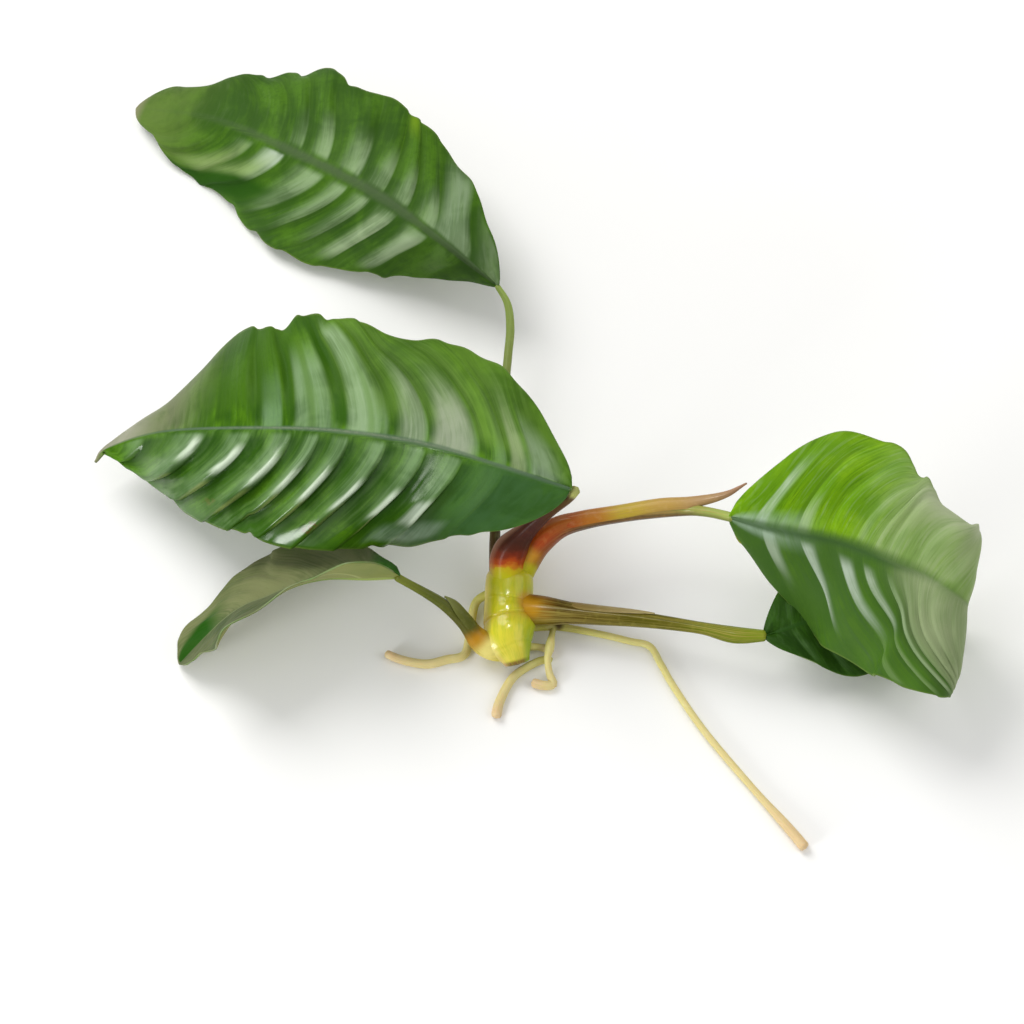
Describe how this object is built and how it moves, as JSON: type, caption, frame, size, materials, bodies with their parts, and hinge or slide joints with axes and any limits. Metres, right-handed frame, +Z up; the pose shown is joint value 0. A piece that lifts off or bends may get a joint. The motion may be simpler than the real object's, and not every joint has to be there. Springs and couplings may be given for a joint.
{
  "type": "anubias_plant",
  "caption": "Bare-rooted anubias water plant lying at rest: a short yellow-green rhizome, ribbed green leaves on stalks and pale roots",
  "frame": {"origin": "middle of the flat patch under the rhizome, on the surface that the plant lies on", "axes": "+Z up from the surface, +Y along the rhizome to its growing end, +X to the right leaf"},
  "size_m": [0.1487, 0.1542, 0.0334],
  "materials": {
    "rhizome_skin": "wet gloss",
    "stalk_skin": "satin",
    "blade_skin": "waxy gloss",
    "root_skin": "satin"
  },
  "bodies": {
    "root": {"rhizome": "rhizome_skin", "stalk_upper": "stalk_skin", "stalk_front": "stalk_skin", "stalk_right": "stalk_skin", "stalk_lower_right": "stalk_skin", "stalk_left": "stalk_skin", "leaf_upper": "blade_skin", "leaf_front": "blade_skin", "leaf_right": "blade_skin", "leaf_lower_right": "blade_skin", "leaf_left": "blade_skin", "root_left": "root_skin", "root_long": "root_skin", "root_side": "root_skin", "root_front": "root_skin", "root_hooked": "root_skin"}
  },
  "joints": []
}
